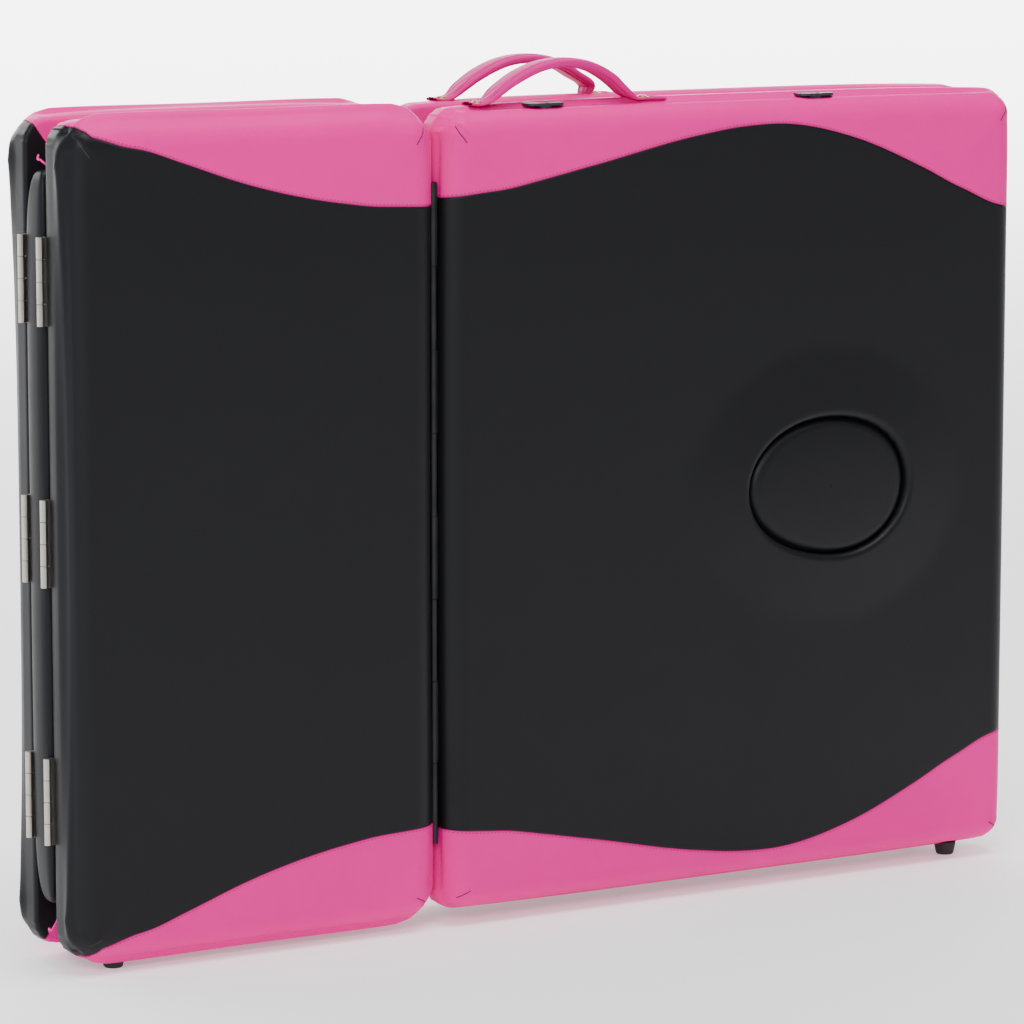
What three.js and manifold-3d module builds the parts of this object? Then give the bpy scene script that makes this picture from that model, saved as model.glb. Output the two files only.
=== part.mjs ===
// Portable four-section massage table, folded and standing on its long side like a case.
// Millimetres, +Z up. X runs along the case from the spine to the open end, the near half
// is on -Y and the far half on +Y. The origin is under the middle of the case, on the floor.
import * as THREE from 'three';
import { mergeVertices } from 'three/addons/utils/BufferGeometryUtils.js';
import Module from 'manifold-3d';

const wasm = await Module();
wasm.setup();

// ---- Driving dimensions -----------------------------------------------------------------
const CLEARANCE = 0.3; // between pieces that rest on each other
const RUNNING = 0.4; // radial room round a pin or a sliding tube
const OVERLAP = 1; // how far pieces of one body run into each other
const THROUGH = 1; // how far a cut runs past the face it leaves by

const CASE_LENGTH = 930; // pads, from the spine end to the open end
const TABLE_WIDTH = 680; // pads, across the bed; the height of the standing case
const NARROW_LENGTH = 336; // section beside the spine
const SECTION_GAP = 9; // groove between the two sections of a half
const PAD_THICKNESS = 47; // foam, vinyl and board together
const CASE_GAP = 38; // room between the boards for the legs
const PAD_EDGE_RADIUS = 20; // rounding of the upholstered face
const PAD_CORNER_RADIUS = 22; // corners of a section in plan
const BOARD_THICKNESS = 6;
const BOARD_INSET = 4; // board edge behind the upholstered edge
const BOARD_CORNER_RADIUS = 18;

const FACE_HOLE_CENTRE_FROM_END = 201.5;
const FACE_HOLE_LENGTH = 168;
const FACE_HOLE_WIDTH = 124;
const PLUG_CLEARANCE = 3; // groove round the plug's cushion; its board fits the hole closely
const PLUG_EDGE_RADIUS = 12;

const SPINE_INSET = 40; // ends in from the long edges of the bed
const SPINE_WIDTH = 32;
const SPINE_THICKNESS = 22;
const SPINE_PROUD = 3.5; // outer face beyond the pad ends
const SPINE_OUTER_RADIUS = 7;
const SPINE_INNER_RADIUS = 3;
const SPINE_END_RADIUS = 7;

const HINGE_LENGTH = 72;
const HINGE_INSET = 88; // middles of the outer hinges in from the ends of the spine
const HINGE_KNUCKLES = 4;
const KNUCKLE_RADIUS = 3.2;
const KNUCKLE_GAP = 0.5;
const PIN_RADIUS = 1.4;
const LEAF_THICKNESS = 1.2;
const LEAF_LENGTH = 26;
const HINGE_AXIS_OUTSIDE = 4.5; // axis beyond the pad ends

const SECTION_AXIS_DEPTH = 20; // tilt axis below the upholstered face
const SECTION_HINGE_INSET = 60; // ends in from the long edges of the bed
const SECTION_KNUCKLES = 8;
const SECTION_KNUCKLE_RADIUS = 3;
const SECTION_PIN_RADIUS = 1.3;
const SECTION_LEAF_THICKNESS = 1.6;
const SECTION_WEB_SETBACK = 0.2; // web below the axis

const RAIL_INSET = 50; // rail centres in from the long edges of the bed
const RAIL_WIDTH = 24;
const RAIL_THICKNESS = 12;
const RAIL_WALL = 1.6;
const RAIL_START = 36;
const RAIL_END_INSET = 14; // in from the open end

const LEG_PIVOT = 880; // along the case
const LEG_ROOM_NEAR = 50; // leg centres in from the rail centres
const LEG_ROOM_FAR = 85; // the far legs swing out between the near ones
const LEG_BOARD_ROOM = 0.3; // between a leg and the plane of the rails' backs
const LEG_RADIUS = 9;
const LEG_WALL = 1.6;
const LEG_TUBE_LENGTH = 430;
const LEG_CROSSBARS = [120, 390]; // from the pivot
const LEG_CROSSBAR_WIDTH = 24;
const LEG_CROSSBAR_THICKNESS = 8;
const LEG_END_CAP = 2; // solid end of a leg tube, before the pivot
const LEG_PIN_RADIUS = 3;
const LEG_SPACER_RADIUS = 6;
const LEG_SIDE_ROOM = 1; // between a leg and the spacer beside it
const LOWER_TUBE_START = 180;
const LOWER_TUBE_END = 545;
const LOWER_TUBE_WALL = 1.5;
const TIP_LIP = 0.2; // of a tip past its leg tube, all round
const TIP_LENGTH = 26;
const TIP_SOCKET_DEPTH = 14;
const LOCK_PLACE = 412; // clamp knob, from the leg pivot
const KNOB_INSET = 0.4; // of a knob's lobes inside the width of its leg tube
const KNOB_HEIGHT = 9;
const KNOB_LOBES = 5;
const KNOB_LOBE_DEPTH = 1;

const PROP_ROOM = 28; // strut centres in from the rail centres
const PROP_PIVOT_FROM_AXIS = 252;
const PROP_LENGTH = 231;
const PROP_WIDTH = 10;
const PROP_THICKNESS = 6;
const PROP_PIN_RADIUS = 2.4;

const FOOT_HEIGHT = 12;
const FOOT_TOP_RADIUS = 10;
const FOOT_BOTTOM_RADIUS = 8;
const FOOT_CHAMFER = 1;
const FOOT_SHOULDER = 2;
const FOOT_INSETS = [45, 49]; // in from the spine end and the open end
const FOOT_OFFSET = 33; // off the middle plane of the case

const HANDLE_CENTRE = 475; // along the case
const HANDLE_OFFSET = 36; // off the middle plane of the case
const HANDLE_WIDTH = 26;
const HANDLE_THICKNESS = 4.5;
const HANDLE_HALF_SPAN = 72;
const HANDLE_TAB = 20;
const HANDLE_RISE = 34;

const SOCKET_PLACES = [449, 723]; // arm-rest sockets along the case
const SOCKET_OFFSET = 42;
const SOCKET_LENGTH = 38;
const SOCKET_WIDTH = 20;
const SOCKET_LIP = 2.2;
const SOCKET_DEPTH = 40;
const SOCKET_WALL = 2;
const SOCKET_BODY_RADIUS = 8;

// ---- Values that follow -----------------------------------------------------------------
const NEAR = -1;
const FAR = 1;
const UPPER = 1;
const LOWER = -1;
const HALF_CASE = CASE_GAP / 2 + PAD_THICKNESS;
const BOARD_FACE = CASE_GAP / 2 + CLEARANCE;
const BOARD_BACK = BOARD_FACE + BOARD_THICKNESS;
const HINGE_REACH = HINGE_AXIS_OUTSIDE + KNUCKLE_RADIUS;
const ORIGIN_X = (CASE_LENGTH - HINGE_REACH) / 2;
const MIDDLE_Z = FOOT_HEIGHT + TABLE_WIDTH / 2;
const TOP_Z = FOOT_HEIGHT + TABLE_WIDTH;
const SPINE_LENGTH = TABLE_WIDTH - 2 * SPINE_INSET;
const HINGE_SPACING = SPINE_LENGTH / 2 - HINGE_INSET;
const SECTION_HINGE_LENGTH = TABLE_WIDTH - 2 * SECTION_HINGE_INSET;
const RAIL_SPACING = TABLE_WIDTH / 2 - RAIL_INSET; // rail centres from the middle of the bed
const RAIL_END = CASE_LENGTH - RAIL_END_INSET;
const LEG_SPACING_NEAR = RAIL_SPACING - LEG_ROOM_NEAR;
const LEG_SPACING_FAR = RAIL_SPACING - LEG_ROOM_FAR;
const PROP_SPACING = RAIL_SPACING - PROP_ROOM;
const FOOT_PLACES = [FOOT_INSETS[0], CASE_LENGTH - FOOT_INSETS[1]];
const WIDE_START = NARROW_LENGTH + SECTION_GAP;
const SECTION_AXIS_X = NARROW_LENGTH + SECTION_GAP / 2;
const SECTION_AXIS_Y = HALF_CASE - SECTION_AXIS_DEPTH;
const HINGE_AXIS_Y = SPINE_WIDTH / 2 + CLEARANCE + LEAF_THICKNESS + CLEARANCE / 2;
const FACE_HOLE_X = CASE_LENGTH - FACE_HOLE_CENTRE_FROM_END;
const RAIL_INNER = BOARD_FACE - CLEARANCE - RAIL_THICKNESS;
const PROP_OFFSET = RAIL_INNER + RAIL_THICKNESS / 2;
const LEG_OFFSET = CASE_GAP / 2 - LEG_BOARD_ROOM - LEG_RADIUS; // off the middle plane
const TIP_RADIUS = LEG_RADIUS + TIP_LIP;
const KNOB_RADIUS = LEG_RADIUS - KNOB_INSET;

// ---- Finishes ---------------------------------------------------------------------------
const finish = (color, roughness, metalness) =>
  new THREE.MeshStandardMaterial({ color, roughness, metalness });
const blackVinyl = finish(0x242427, 0.5, 0);
const pinkVinyl = finish(0xfb489e, 0.5, 0);
const plywood = finish(0xb98a56, 0.7, 0);
const nickel = finish(0xb9b5ac, 0.35, 1);
const aluminium = finish(0xbfc2c6, 0.38, 1);
const blackRubber = finish(0x151515, 0.8, 0);
const blackPlastic = finish(0x1b1a1c, 0.45, 0);

// ---- Solid geometry ---------------------------------------------------------------------
function toSolid(geometry) {
  const bare = geometry.index ? geometry.toNonIndexed() : geometry.clone();
  bare.deleteAttribute('normal');
  bare.deleteAttribute('uv');
  const merged = mergeVertices(bare, 1e-4);
  const mesh = new wasm.Mesh({
    numProp: 3,
    vertProperties: Float32Array.from(merged.attributes.position.array),
    triVerts: Uint32Array.from(merged.index.array),
  });
  return new wasm.Manifold(mesh);
}

function toGeometry(manifold) {
  const mesh = manifold.getMesh();
  const geometry = new THREE.BufferGeometry();
  geometry.setAttribute('position', new THREE.BufferAttribute(mesh.vertProperties, 3));
  geometry.setIndex(new THREE.BufferAttribute(mesh.triVerts, 1));
  geometry.computeVertexNormals();
  return geometry;
}

function join(...geometries) {
  return toGeometry(geometries.map(toSolid).reduce((whole, next) => whole.add(next)));
}

function cut(body, ...tools) {
  return toGeometry(tools.map(toSolid).reduce((rest, tool) => rest.subtract(tool), toSolid(body)));
}

// A box between two corners given as [low, high] pairs in either order.
function block(xs, ys, zs) {
  const spans = [xs, ys, zs].map(([a, b]) => [Math.min(a, b), Math.max(a, b)]);
  const geometry = new THREE.BoxGeometry(...spans.map(([low, high]) => high - low));
  return geometry.translate(...spans.map(([low, high]) => (low + high) / 2));
}

// A cylinder along Z between two heights.
function rod(radius, x, y, z0, z1, sides = 16) {
  const geometry = new THREE.CylinderGeometry(radius, radius, Math.abs(z1 - z0), sides);
  return geometry.rotateX(Math.PI / 2).translate(x, y, (z0 + z1) / 2);
}

// A cylinder along X between two places.
function bar(radius, y, z, x0, x1, sides = 16) {
  const geometry = new THREE.CylinderGeometry(radius, radius, Math.abs(x1 - x0), sides);
  return geometry.rotateZ(Math.PI / 2).translate((x0 + x1) / 2, y, z);
}

// An outline drawn in X and Z, given thickness between two Y planes.
function slab(outline, y0, y1, curveSegments = 6) {
  const settings = { depth: Math.abs(y1 - y0), bevelEnabled: false, curveSegments };
  const geometry = new THREE.ExtrudeGeometry(outline, settings);
  return geometry.rotateX(Math.PI / 2).translate(0, Math.max(y0, y1), 0);
}

function roundedRectangle(x0, x1, z0, z1, radius) {
  const shape = new THREE.Shape();
  shape.moveTo(x0 + radius, z0);
  shape.absarc(x1 - radius, z0 + radius, radius, -Math.PI / 2, 0);
  shape.absarc(x1 - radius, z1 - radius, radius, 0, Math.PI / 2);
  shape.absarc(x0 + radius, z1 - radius, radius, Math.PI / 2, Math.PI);
  shape.absarc(x0 + radius, z0 + radius, radius, Math.PI, 1.5 * Math.PI);
  return shape;
}

function ellipse(length, width) {
  const shape = new THREE.Shape();
  shape.absellipse(FACE_HOLE_X, MIDDLE_Z, length / 2, width / 2, 0, 2 * Math.PI);
  return shape;
}

// An outline thickened from the inner plane outwards, with a rounded outer edge.
function crowned(outline, side, inner, outer, radius, curveSegments) {
  const settings = {
    depth: 2 * outer,
    bevelEnabled: true,
    bevelThickness: radius,
    bevelSize: radius,
    bevelOffset: -radius,
    bevelSegments: 4,
    curveSegments,
  };
  const body = new THREE.ExtrudeGeometry(outline, settings);
  body.rotateX(Math.PI / 2);
  body.translate(0, side > 0 ? outer - radius : outer + radius, 0);
  const far = 4 * CASE_LENGTH;
  return cut(body, block([-far, far], [side * inner, -side * far], [-far, far]));
}

// ---- Assembly ---------------------------------------------------------------------------
const group = new THREE.Group();
group.position.x = -ORIGIN_X;

function add(name, geometry, material) {
  const mesh = new THREE.Mesh(geometry, material);
  mesh.name = name;
  group.add(mesh);
}

function sideName(side) {
  return side === NEAR ? 'near' : 'far';
}

function legSpacing(side) {
  return side === NEAR ? LEG_SPACING_NEAR : LEG_SPACING_FAR;
}

function heightName(height) {
  return height === UPPER ? 'upper' : 'lower';
}

const faceHole = () => slab(ellipse(FACE_HOLE_LENGTH, FACE_HOLE_WIDTH), -2 * HALF_CASE, 0, 20);

// The bores that take the arm-rest sockets, in the upper edge of the near wide section.
function socketBore(place) {
  const radius = SOCKET_BODY_RADIUS + CLEARANCE;
  const depth = SOCKET_DEPTH + CLEARANCE;
  return rod(radius, place, NEAR * SOCKET_OFFSET, TOP_Z - depth, TOP_Z + THROUGH, 12);
}

// A vinyl and foam section with the pocket that its board sits in.
function addSection(side, kind, x0, x1) {
  const z0 = FOOT_HEIGHT;
  const z1 = TOP_Z;
  const outline = roundedRectangle(x0, x1, z0, z1, PAD_CORNER_RADIUS);
  const insetOutline = (by) =>
    roundedRectangle(x0 + by, x1 - by, z0 + by, z1 - by, BOARD_CORNER_RADIUS);
  const holed = side === NEAR && kind === 'wide';
  const pocket = slab(insetOutline(BOARD_INSET - CLEARANCE), 0, side * (BOARD_BACK + CLEARANCE));
  let cushion = crowned(outline, side, CASE_GAP / 2 + CLEARANCE, HALF_CASE, PAD_EDGE_RADIUS, 4);
  cushion = cut(cushion, pocket);
  let board = slab(insetOutline(BOARD_INSET), side * BOARD_FACE, side * BOARD_BACK);
  if (holed) {
    cushion = cut(cushion, faceHole(), ...SOCKET_PLACES.map(socketBore));
    board = cut(board, faceHole());
  }
  add(`${sideName(side)}_${kind}_cushion`, cushion, blackVinyl);
  add(`${sideName(side)}_${kind}_board`, board, plywood);
}

function addFacePlug() {
  const outline = (clearance) =>
    ellipse(FACE_HOLE_LENGTH - 2 * clearance, FACE_HOLE_WIDTH - 2 * clearance);
  const seam = BOARD_BACK + CLEARANCE;
  const cushion = crowned(outline(PLUG_CLEARANCE), NEAR, seam, HALF_CASE, PLUG_EDGE_RADIUS, 20);
  const board = slab(outline(CLEARANCE), NEAR * BOARD_FACE, NEAR * BOARD_BACK, 20);
  add('face_plug_cushion', cushion, blackVinyl);
  add('face_plug_board', board, plywood);
}

// The upholstered board that joins the halves; outer edges soft, inner edges crisp.
function addSpine() {
  const x0 = -SPINE_PROUD;
  const x1 = x0 + SPINE_THICKNESS;
  const y = SPINE_WIDTH / 2;
  const shape = new THREE.Shape();
  const outer = SPINE_OUTER_RADIUS;
  const inner = SPINE_INNER_RADIUS;
  shape.moveTo(x0 + outer, -y);
  shape.absarc(x1 - inner, -y + inner, inner, -Math.PI / 2, 0);
  shape.absarc(x1 - inner, y - inner, inner, 0, Math.PI / 2);
  shape.absarc(x0 + outer, y - outer, outer, Math.PI / 2, Math.PI);
  shape.absarc(x0 + outer, -y + outer, outer, Math.PI, 1.5 * Math.PI);
  const bevel = SPINE_END_RADIUS - outer / 2;
  const settings = {
    depth: SPINE_LENGTH - 2 * bevel,
    bevelEnabled: true,
    bevelThickness: bevel,
    bevelSize: inner - 0.5,
    bevelOffset: 0.5 - inner,
    bevelSegments: 3,
    curveSegments: 5,
  };
  const body = new THREE.ExtrudeGeometry(shape, settings);
  body.translate(0, 0, MIDDLE_Z - SPINE_LENGTH / 2 + bevel);
  add('spine_board', body, blackVinyl);
}

// Every second knuckle of a hinge whose knuckles share one length along Z.
function knuckles(x, y, middle, length, count, first, radius, boreRadius, web) {
  const step = length / count;
  const pieces = [];
  for (let i = first; i < count; i += 2) {
    const z0 = middle - length / 2 + i * step + KNUCKLE_GAP / 2;
    const z1 = z0 + step - KNUCKLE_GAP;
    const barrel = join(rod(radius, x, y, z0, z1, 14), web(z0, z1));
    const bore = rod(boreRadius, x, y, z0 - THROUGH, z1 + THROUGH, 10);
    pieces.push(boreRadius ? cut(barrel, bore) : barrel);
  }
  return pieces;
}

// A butt hinge between a half and the spine: one leaf on the board, one on the spine with the pin.
function addSpineHinge(side, name, middle) {
  const x = -HINGE_AXIS_OUTSIDE;
  const y = side * HINGE_AXIS_Y;
  const z = [middle - HINGE_LENGTH / 2, middle + HINGE_LENGTH / 2];
  const plateStart = x + KNUCKLE_RADIUS + RUNNING;
  const leaf = (y0, first, bore, end) => {
    const span = [side * y0, side * (y0 + LEAF_THICKNESS)];
    const plate = block([plateStart, end], span, z);
    const web = (z0, z1) => block([x, plateStart + OVERLAP], span, [z0, z1]);
    const barrels = knuckles(
      x, y, middle, HINGE_LENGTH, HINGE_KNUCKLES, first, KNUCKLE_RADIUS, bore, web);
    return [plate, ...barrels];
  };
  const spineSide = SPINE_WIDTH / 2 + CLEARANCE;
  const boardSide = CASE_GAP / 2 - LEAF_THICKNESS;
  const spineEnd = SPINE_THICKNESS - SPINE_PROUD - SPINE_INNER_RADIUS;
  const prefix = `${sideName(side)}_hinge_${name}`;
  const pin = rod(PIN_RADIUS, x, y, z[0] + KNUCKLE_GAP, z[1] - KNUCKLE_GAP, 10);
  add(`${prefix}_board_leaf`, join(...leaf(boardSide, 0, PIN_RADIUS + RUNNING, LEAF_LENGTH)), nickel);
  add(`${prefix}_spine_leaf`, join(...leaf(spineSide, 1, 0, spineEnd), pin), nickel);
}

// The long hinge in the groove between the narrow and the wide section of a half.
function addSectionHinge(side) {
  const x = SECTION_AXIS_X;
  const y = side * SECTION_AXIS_Y;
  const length = SECTION_HINGE_LENGTH;
  const z = [MIDDLE_Z - length / 2, MIDDLE_Z + length / 2];
  const radius = SECTION_KNUCKLE_RADIUS;
  const leafTop = SECTION_AXIS_Y - radius - RUNNING;
  const webTop = SECTION_AXIS_Y - SECTION_WEB_SETBACK;
  const leaf = (hand, first, bore) => {
    const outer = x + hand * (SECTION_GAP / 2 - CLEARANCE);
    const inner = outer - hand * SECTION_LEAF_THICKNESS;
    const plate = block([inner, outer], [side * (CASE_GAP / 2), side * leafTop], z);
    const web = (z0, z1) =>
      block([x, outer], [side * (leafTop - OVERLAP), side * webTop], [z0, z1]);
    return [plate, ...knuckles(x, y, MIDDLE_Z, length, SECTION_KNUCKLES, first, radius, bore, web)];
  };
  const pin = rod(SECTION_PIN_RADIUS, x, y, z[0] + KNUCKLE_GAP, z[1] - KNUCKLE_GAP, 10);
  const bore = SECTION_PIN_RADIUS + RUNNING;
  add(`${sideName(side)}_section_hinge_fixed_leaf`, join(...leaf(-1, 0, 0), pin), nickel);
  add(`${sideName(side)}_section_hinge_moving_leaf`, join(...leaf(1, 1, bore)), nickel);
}

// The rails under a half, each with the pin its leg swings on and the stud its prop swings on.
function addRails(side) {
  const back = side * (CASE_GAP / 2);
  const front = side * RAIL_INNER;
  const half = RAIL_WIDTH / 2;
  for (const height of [LOWER, UPPER]) {
    const at = (distance) => MIDDLE_Z + height * distance;
    const z = at(RAIL_SPACING);
    const tube = block([RAIL_START, RAIL_END], [back, front], [z - half, z + half]);
    const bore = block(
      [RAIL_START - THROUGH, RAIL_END + THROUGH],
      [back - side * RAIL_WALL, front + side * RAIL_WALL],
      [z - half + RAIL_WALL, z + half - RAIL_WALL]);
    const root = at(RAIL_SPACING - half + OVERLAP);
    const studX = SECTION_AXIS_X + PROP_PIVOT_FROM_AXIS;
    const studEnd = at(PROP_SPACING - PROP_THICKNESS / 2 - THROUGH);
    const stud = rod(PROP_PIN_RADIUS, studX, side * PROP_OFFSET, root, studEnd, 12);
    const legY = side * LEG_OFFSET;
    const spacerEnd = at(legSpacing(side) + LEG_RADIUS + LEG_SIDE_ROOM);
    const spacer = rod(LEG_SPACER_RADIUS, LEG_PIVOT, legY, root, spacerEnd, 16);
    const pinEnd = at(legSpacing(side) - LEG_RADIUS - LEG_SIDE_ROOM);
    const pin = rod(LEG_PIN_RADIUS, LEG_PIVOT, legY, root, pinEnd, 12);
    const name = `${sideName(side)}_rail_${heightName(height)}`;
    add(name, join(cut(tube, bore), stud, spacer, pin), aluminium);
  }
}

function addLegs(side) {
  const spacing = legSpacing(side);
  const y = side * LEG_OFFSET;
  const end = LEG_PIVOT - LEG_TUBE_LENGTH;
  const bore = LEG_RADIUS - LEG_WALL;
  const bars = LEG_CROSSBARS.map((place) => {
    const x = LEG_PIVOT - place;
    const [halfX, halfY] = [LEG_CROSSBAR_WIDTH / 2, LEG_CROSSBAR_THICKNESS / 2];
    const zs = [MIDDLE_Z - spacing, MIDDLE_Z + spacing];
    return block([x - halfX, x + halfX], [y - halfY, y + halfY], zs);
  });
  const tubes = [LOWER, UPPER].map((height) =>
    bar(LEG_RADIUS, y, MIDDLE_Z + height * spacing, end, LEG_PIVOT));
  const ends = [LOWER, UPPER].map((height) =>
    new THREE.SphereGeometry(LEG_RADIUS, 16, 12)
      .rotateZ(Math.PI / 2)
      .translate(LEG_PIVOT, y, MIDDLE_Z + height * spacing));
  const cuts = [LOWER, UPPER].flatMap((height) => {
    const z = MIDDLE_Z + height * spacing;
    const pinHole = LEG_PIN_RADIUS + RUNNING;
    return [
      bar(bore, y, z, end - THROUGH, LEG_PIVOT - LEG_PIN_RADIUS - LEG_END_CAP),
      rod(pinHole, LEG_PIVOT, y, z - 2 * LEG_RADIUS, z + 2 * LEG_RADIUS, 12),
    ];
  });
  add(`${sideName(side)}_leg_frame`, cut(join(...bars, ...tubes, ...ends), ...cuts), aluminium);

  for (const height of [LOWER, UPPER]) {
    const z = MIDDLE_Z + height * spacing;
    const name = `${sideName(side)}_leg`;
    const radius = bore - RUNNING;
    const x0 = LEG_PIVOT - LOWER_TUBE_END;
    const x1 = LEG_PIVOT - LOWER_TUBE_START;
    const inside = bar(radius - LOWER_TUBE_WALL, y, z, x0 - THROUGH, x1 + THROUGH);
    const tube = cut(bar(radius, y, z, x0, x1), inside);
    add(`${name}_tube_${heightName(height)}`, tube, aluminium);

    const mouth = x0 + TIP_SOCKET_DEPTH;
    const tipEnd = mouth - TIP_LENGTH;
    const socket = bar(radius + CLEARANCE, y, z, x0 - CLEARANCE, mouth + THROUGH);
    const tip = cut(bar(TIP_RADIUS, y, z, tipEnd, mouth), socket);
    add(`${name}_tip_${heightName(height)}`, tip, blackRubber);

    const knobFoot = z - height * (LEG_RADIUS + CLEARANCE);
    const knobX = LEG_PIVOT - LOCK_PLACE;
    const knob = knobGeometry().rotateX(height > 0 ? Math.PI : 0).translate(knobX, y, knobFoot);
    add(`${name}_lock_knob_${heightName(height)}`, knob, blackPlastic);
  }
}

// A lobed knob standing on the XY plane: its radius swells and shrinks round the axis.
function knobGeometry() {
  const steps = 6 * KNOB_LOBES;
  const shape = new THREE.Shape();
  for (let i = 0; i < steps; i += 1) {
    const angle = (2 * Math.PI * i) / steps;
    const radius = KNOB_RADIUS + KNOB_LOBE_DEPTH * (Math.cos(KNOB_LOBES * angle) - 1);
    const point = [radius * Math.cos(angle), radius * Math.sin(angle)];
    if (i === 0) shape.moveTo(...point);
    else shape.lineTo(...point);
  }
  const settings = { depth: KNOB_HEIGHT, bevelEnabled: false };
  return new THREE.ExtrudeGeometry(shape, settings);
}

// The struts that hold a tilted section: pivoted on the rails, resting under the board.
function addProps(side) {
  const x0 = SECTION_AXIS_X + PROP_PIVOT_FROM_AXIS;
  const y = PROP_OFFSET;
  for (const height of [LOWER, UPPER]) {
    const z = MIDDLE_Z + height * PROP_SPACING;
    const radius = PROP_WIDTH / 2;
    const shape = new THREE.Shape();
    shape.moveTo(x0, -radius);
    shape.absarc(x0 + PROP_LENGTH - radius, 0, radius, -Math.PI / 2, Math.PI / 2);
    shape.absarc(x0, 0, radius, Math.PI / 2, 1.5 * Math.PI);
    const settings = { depth: PROP_THICKNESS, bevelEnabled: false, curveSegments: 6 };
    const body = new THREE.ExtrudeGeometry(shape, settings);
    body.translate(0, side * y, z - PROP_THICKNESS / 2);
    const eyeEnds = [z - PROP_THICKNESS, z + PROP_THICKNESS];
    const eye = rod(PROP_PIN_RADIUS + RUNNING, x0, side * y, ...eyeEnds, 12);
    add(`${sideName(side)}_prop_${heightName(height)}`, cut(body, eye), aluminium);
  }
}

function addFoot(side, name, place) {
  const top = FOOT_HEIGHT - CLEARANCE;
  const profile = [
    new THREE.Vector2(0, 0),
    new THREE.Vector2(FOOT_BOTTOM_RADIUS - FOOT_CHAMFER, 0),
    new THREE.Vector2(FOOT_BOTTOM_RADIUS, FOOT_CHAMFER),
    new THREE.Vector2(FOOT_TOP_RADIUS, top - FOOT_SHOULDER),
    new THREE.Vector2(FOOT_TOP_RADIUS, top),
    new THREE.Vector2(0, top),
  ];
  const body = new THREE.LatheGeometry(profile, 16).rotateX(Math.PI / 2);
  body.translate(place, side * FOOT_OFFSET, 0);
  add(`${sideName(side)}_foot_${name}`, body, blackRubber);
}

// A strap bowed up between two flat tabs; the bow is half a cosine wave.
function addHandle(side) {
  const steps = 20;
  const lift = (t) => HANDLE_RISE * Math.cos((Math.PI / 2) * t);
  const low = [];
  const high = [];
  const point = (t) => new THREE.Vector2(t * HANDLE_HALF_SPAN, lift(t));
  for (let i = 0; i <= steps; i += 1) {
    const t = (2 * i) / steps - 1;
    const ahead = point(Math.min(1, t + 0.01));
    const behind = point(Math.max(-1, t - 0.01));
    const along = ahead.sub(behind).normalize();
    const normal = new THREE.Vector2(-along.y, along.x).multiplyScalar(HANDLE_THICKNESS / 2);
    low.push(point(t).sub(normal));
    high.push(point(t).add(normal));
  }
  const half = HANDLE_THICKNESS / 2;
  const tabEnd = HANDLE_HALF_SPAN + HANDLE_TAB;
  const outline = [
    new THREE.Vector2(-tabEnd, -half), ...low, new THREE.Vector2(tabEnd, -half),
    new THREE.Vector2(tabEnd, half), ...high.reverse(), new THREE.Vector2(-tabEnd, half),
  ];
  const y = side * HANDLE_OFFSET;
  const body = slab(new THREE.Shape(outline), y - HANDLE_WIDTH / 2, y + HANDLE_WIDTH / 2);
  body.translate(HANDLE_CENTRE, 0, TOP_Z + CLEARANCE + half);
  add(`${sideName(side)}_handle`, body, pinkVinyl);
}

// A blind socket with an oval lip, let into the upper edge of the near wide section.
function addSocket(name, place) {
  const y = NEAR * SOCKET_OFFSET;
  const lipRadius = SOCKET_WIDTH / 2;
  const lipReach = SOCKET_LENGTH / 2 - lipRadius;
  const lip = new THREE.Shape();
  lip.absarc(lipReach, 0, lipRadius, -Math.PI / 2, Math.PI / 2);
  lip.absarc(-lipReach, 0, lipRadius, Math.PI / 2, 1.5 * Math.PI);
  const settings = { depth: SOCKET_LIP, bevelEnabled: false, curveSegments: 8 };
  const plate = new THREE.ExtrudeGeometry(lip, settings);
  plate.translate(place, y, TOP_Z + CLEARANCE);
  const body = rod(SOCKET_BODY_RADIUS, place, y, TOP_Z - SOCKET_DEPTH, TOP_Z + OVERLAP, 16);
  const boreRadius = SOCKET_BODY_RADIUS - SOCKET_WALL;
  const floor = TOP_Z - SOCKET_DEPTH + SOCKET_WALL;
  const bore = rod(boreRadius, place, y, floor, TOP_Z + 2 * SOCKET_LIP, 16);
  add(name, cut(join(plate, body), bore), blackPlastic);
}

for (const side of [NEAR, FAR]) {
  addSection(side, 'narrow', 0, NARROW_LENGTH);
  addSection(side, 'wide', WIDE_START, CASE_LENGTH);
  addSectionHinge(side);
  addRails(side);
  addLegs(side);
  addProps(side);
  addHandle(side);
  addFoot(side, 'inner', FOOT_PLACES[0]);
  addFoot(side, 'outer', FOOT_PLACES[1]);
  for (const [name, offset] of [['lower', -1], ['middle', 0], ['upper', 1]]) {
    addSpineHinge(side, name, MIDDLE_Z + offset * HINGE_SPACING);
  }
}
addFacePlug();
addSpine();
SOCKET_PLACES.forEach((place, i) => addSocket(`arm_socket_${i + 1}`, place));

export default group;
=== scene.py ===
"""Portable four-section massage table, folded and standing on its long side like a case.

Metres, +Z up. X runs from the spine end to the open end, the near half is on -Y.
Every upholstered piece is a grid whose formula is in the docstring of the function that makes it.
"""

import math

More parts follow.
